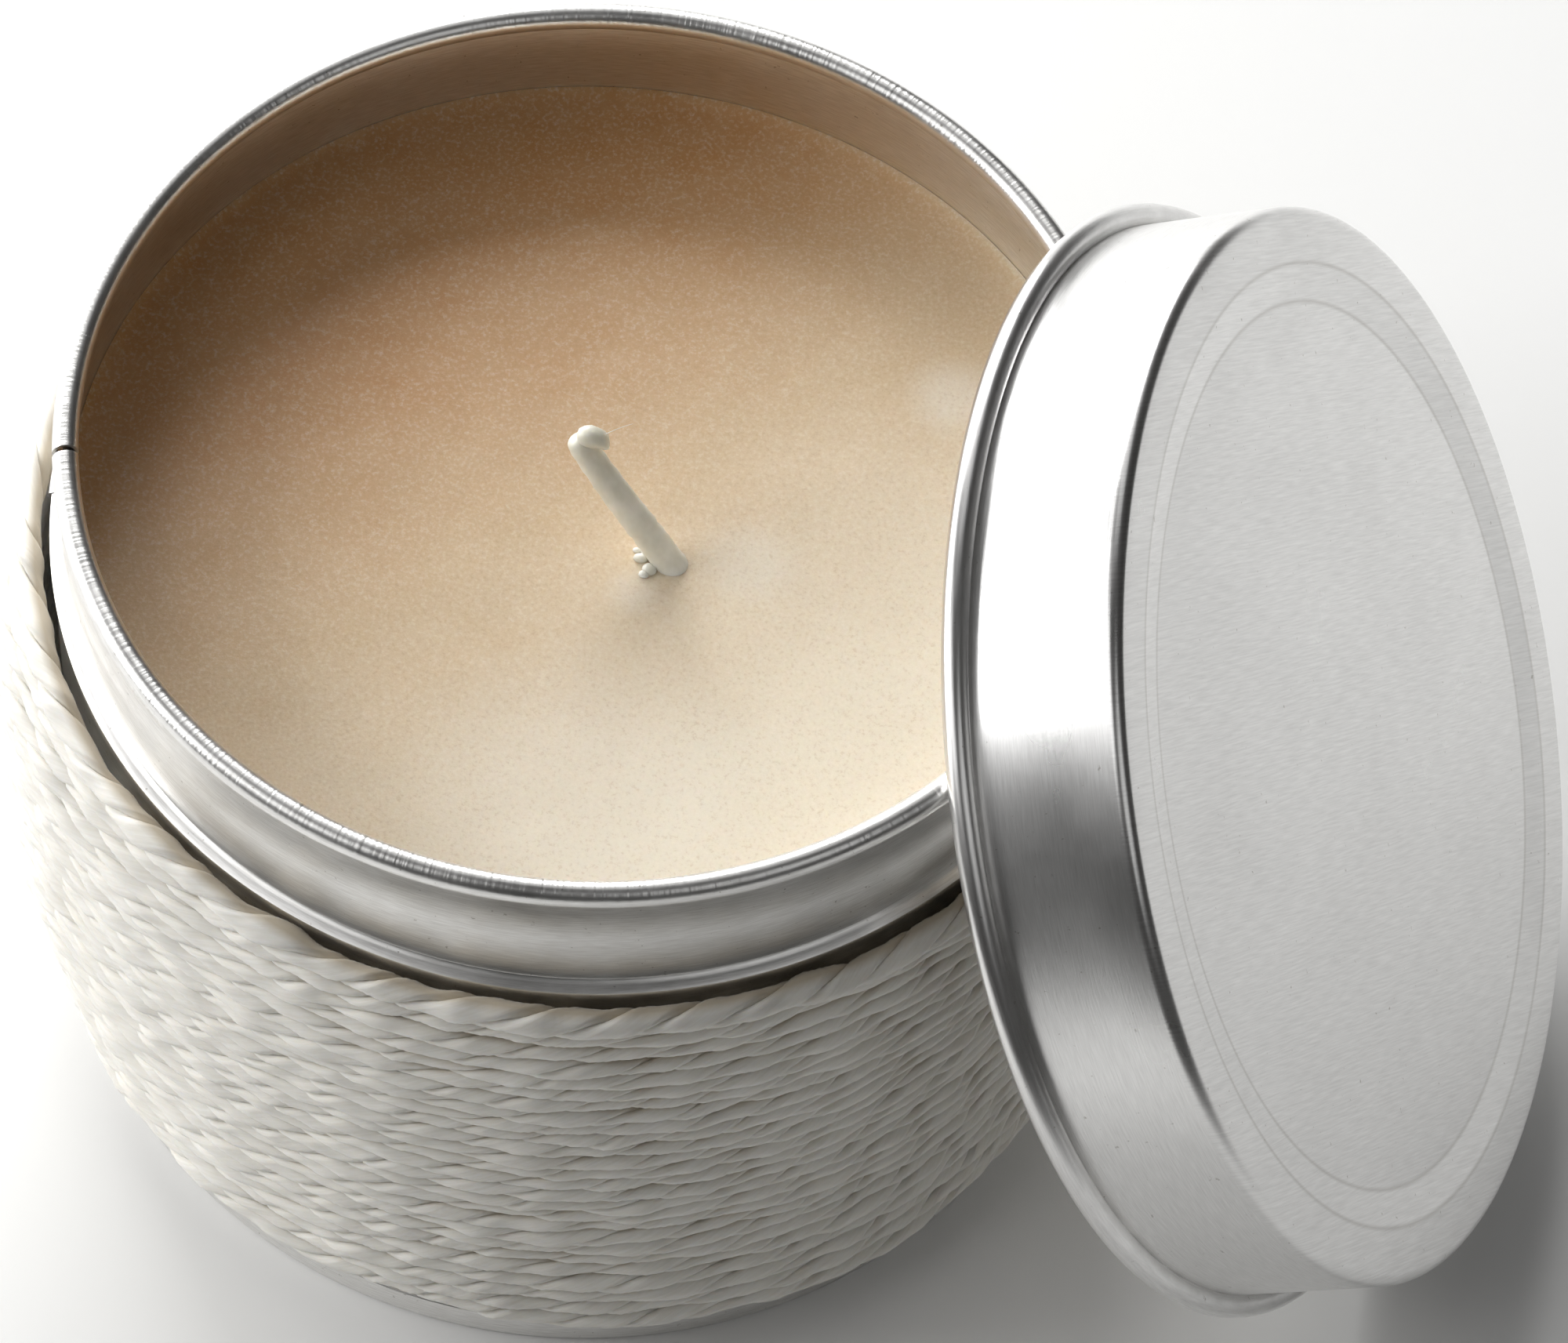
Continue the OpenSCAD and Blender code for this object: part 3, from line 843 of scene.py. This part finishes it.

# %% [markdown]
# ## Wax
#
# Container wax is creamy and satin. Light goes a little way in and comes back warm, which the
# subsurface part of the shader does. Tiny crystals give a fine sparkle of lighter grains, and a few
# wide pale patches are laid on at listed places. Painted shade runs across the colour: dark brown at
# the back left, where the tin's wall shades the wax, to pale cream at the front right.

# %% Wax finish
def cast_wax():
    material, shader, node, join = new_material("cast_wax")
    place = node("ShaderNodeTexCoord").outputs["Object"]
    patches = noise(node, place, 45.0, 2.0, 0.5)
    mottle = noise(node, place, 420.0, 3.0, 0.6)
    grains = noise(node, place, 3300.0, 3.0, 0.65)
    parts = node("ShaderNodeSeparateXYZ", {"Vector": place})
    across = math_of(node, "SUBTRACT", parts.outputs["X"], parts.outputs["Y"])
    across = math_of(node, "ADD", across, remap(node, patches, 0.3, 0.7, -5 * MM, 5 * MM))
    # painted shade and light: the ramp below runs from dark brown at the back left, where the tin's
    # wall shades the wax, to pale cream at the front right, where the light falls
    painted_shade_to_light = remap(node, across, -40 * MM, 40 * MM)
    ramp = node("ShaderNodeValToRGB", {"Fac": painted_shade_to_light})
    stops = ramp.color_ramp.elements
    stops[0].position, stops[0].color = 0.08, (0.56, 0.28, 0.10, 1)
    stops[1].position, stops[1].color = 0.95, (0.80, 0.72, 0.58, 1)
    middle = stops.new(0.5)
    middle.color = (0.69, 0.52, 0.33, 1)
    tone = ramp.outputs["Color"]
    tone = blend_colours(node, remap(node, mottle, 0.3, 0.7, 0.0, 0.12), tone, (0.80, 0.68, 0.50))
    # x, y and reach in millimetres, and strength, of each pale patch
    pale_patch_places = ((11.8, -1.8, 4.2, 0.3), (4.3, -6.0, 2.4, 0.3), (23.5, 15.7, 4.0, 0.4), (4, -24, 14, 0.3))
    for x, y, reach, share in pale_patch_places:
        middle_of = Vector((x, y, wax_level)) * MM
        spot = node("ShaderNodeVectorMath", {0: place, 1: middle_of}, operation="DISTANCE")
        pale = remap(node, spot.outputs["Value"], reach * MM, 0.35 * reach * MM, 0.0, share)
        tone = blend_colours(node, pale, tone, (0.88, 0.84, 0.75))
    tone = blend_colours(node, remap(node, grains, 0.50, 0.72, 0.0, 0.35), tone, (0.90, 0.82, 0.68))
    tone = blend_colours(node, remap(node, grains, 0.45, 0.30, 0.0, 0.25), tone, (0.45, 0.28, 0.14))
    join(tone, shader.inputs["Base Color"])
    join(remap(node, mottle, 0.3, 0.7, 0.36, 0.50), shader.inputs["Roughness"])
    shader.inputs["Subsurface Weight"].default_value = 0.35
    shader.inputs["Subsurface Radius"].default_value = (1.0, 0.6, 0.3)
    shader.inputs["Subsurface Scale"].default_value = 1.5 * MM
    shader.inputs["IOR"].default_value = 1.44
    relief = bump(node, mottle, 0.25, 0.05 * MM)
    relief = bump(node, grains, 0.35, 0.06 * MM, relief)
    join(relief, shader.inputs["Normal"])
    return material


wax.data.materials.append(cast_wax())
print("wax finish on", wax.name)

# %% [markdown]
# ## Cotton
#
# The cord's cotton is off-white and matt, with fibres that run along each ply. Their noise is
# stretched along U, the length of the ply. Towards the tin's wall the colour is painted darker and
# warmer, as painted shade in the crevices between plies and turns.

# %% Cotton finish
def cotton():
    material, shader, node, join = new_material("cotton_cord")
    lay = node("ShaderNodeUVMap", uv_map="along_ply").outputs["UV"]
    fibres = noise(node, mapped(node, lay, (0.35, 16, 1), (0, 0, math.radians(3))), 1.0, 4.0, 0.6)
    strands = noise(node, mapped(node, lay, (0.12, 5, 1)), 1.0, 2.0, 0.5)
    place = node("ShaderNodeTexCoord").outputs["Object"]
    dull = noise(node, place, 120.0, 2.0)
    light_fibres = remap(node, fibres, 0.3, 0.7)
    tone = blend_colours(node, light_fibres, (0.80, 0.775, 0.71), (0.90, 0.885, 0.845))
    tone = blend_colours(node, remap(node, dull, 0.35, 0.75, 0, 0.25), tone, (0.78, 0.75, 0.68))
    parts = node("ShaderNodeSeparateXYZ", {"Vector": place})
    flat = node("ShaderNodeCombineXYZ", {"X": parts.outputs["X"], "Y": parts.outputs["Y"]})
    out = node("ShaderNodeVectorMath", {0: flat.outputs[0]}, operation="LENGTH").outputs["Value"]
    # painted shade: darker, warmer cotton towards the tin's wall, in the crevices between plies and
    # turns
    painted_crevice_shade = remap(node, out, (cord_mid_r + 0.62) * MM, (cord_mid_r - 0.10) * MM)
    tone = blend_colours(node, painted_crevice_shade, tone, (0.58, 0.51, 0.40))
    join(tone, shader.inputs["Base Color"])
    shader.inputs["Roughness"].default_value = 0.85
    shader.inputs["Specular IOR Level"].default_value = 0.25
    shader.inputs["Sheen Weight"].default_value = 0.25
    shader.inputs["Sheen Roughness"].default_value = 0.5
    shader.inputs["Subsurface Weight"].default_value = 0.25
    shader.inputs["Subsurface Radius"].default_value = (1.0, 0.8, 0.55)
    shader.inputs["Subsurface Scale"].default_value = 0.5 * MM
    relief = bump(node, strands, 0.5, 0.15 * MM)
    relief = bump(node, fibres, 0.5, 0.06 * MM, relief)
    join(relief, shader.inputs["Normal"])
    return material


cord_finish = cotton()
for piece in cord_pieces:
    piece.data.materials.append(cord_finish)
print("cotton on", len(cord_pieces), "pieces")

# %% [markdown]
# ## Wick, tab and sticker
#
# The wick's wax coat is whiter and clearer than the candle's. The tab and its sticker are sealed in
# the wax, but they get their own finishes too: satin steel and white foam.

# %% Small finishes
def waxed_wick():
    material, shader, node, join = new_material("waxed_wick")
    place = node("ShaderNodeTexCoord").outputs["Object"]
    braid = noise(node, mapped(node, place, (900, 900, 450)), 1.0, 2.0)
    streaks = noise(node, mapped(node, place, (1800, 1800, 300)), 1.0, 3.0)
    tone = blend_colours(node, remap(node, braid, 0.3, 0.7), (0.72, 0.70, 0.60), (0.86, 0.84, 0.76))
    join(tone, shader.inputs["Base Color"])
    shader.inputs["Roughness"].default_value = 0.35
    shader.inputs["Subsurface Weight"].default_value = 0.6
    shader.inputs["Subsurface Radius"].default_value = (1.0, 0.9, 0.7)
    shader.inputs["Subsurface Scale"].default_value = 1.0 * MM
    relief = bump(node, braid, 0.35, 0.12 * MM)
    relief = bump(node, streaks, 0.2, 0.05 * MM, relief)
    join(relief, shader.inputs["Normal"])
    return material


def satin_steel():
    material, shader, node, join = new_material("tab_steel")
    place = node("ShaderNodeTexCoord").outputs["Object"]
    marks = noise(node, place, 900.0, 3.0)
    tone = blend_colours(node, marks, (0.60, 0.60, 0.59), (0.72, 0.72, 0.71))
    join(tone, shader.inputs["Base Color"])
    join(remap(node, marks, 0.3, 0.7, 0.28, 0.42), shader.inputs["Roughness"])
    shader.inputs["Metallic"].default_value = 1.0
    join(bump(node, marks, 0.1, 0.05 * MM), shader.inputs["Normal"])
    return material


def foam():
    material, shader, node, join = new_material("sticker_foam")
    place = node("ShaderNodeTexCoord").outputs["Object"]
    cells = node("ShaderNodeTexVoronoi", {"Vector": place, "Scale": 2500.0}).outputs["Distance"]
    tone = blend_colours(node, cells, (0.84, 0.84, 0.82), (0.93, 0.93, 0.92))
    join(tone, shader.inputs["Base Color"])
    shader.inputs["Roughness"].default_value = 0.9
    join(bump(node, cells, 0.3, 0.05 * MM), shader.inputs["Normal"])
    return material


wick_finish = waxed_wick()
for piece in (wick, fold, fibre, *crumbs):
    piece.data.materials.append(wick_finish)
for node_name, finish in (("wick_tab", satin_steel()), ("wick_sticker", foam())):
    cad_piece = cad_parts[node_name]
    cad_piece.data.materials.clear()
    cad_piece.data.materials.append(finish)
print("small finishes done")
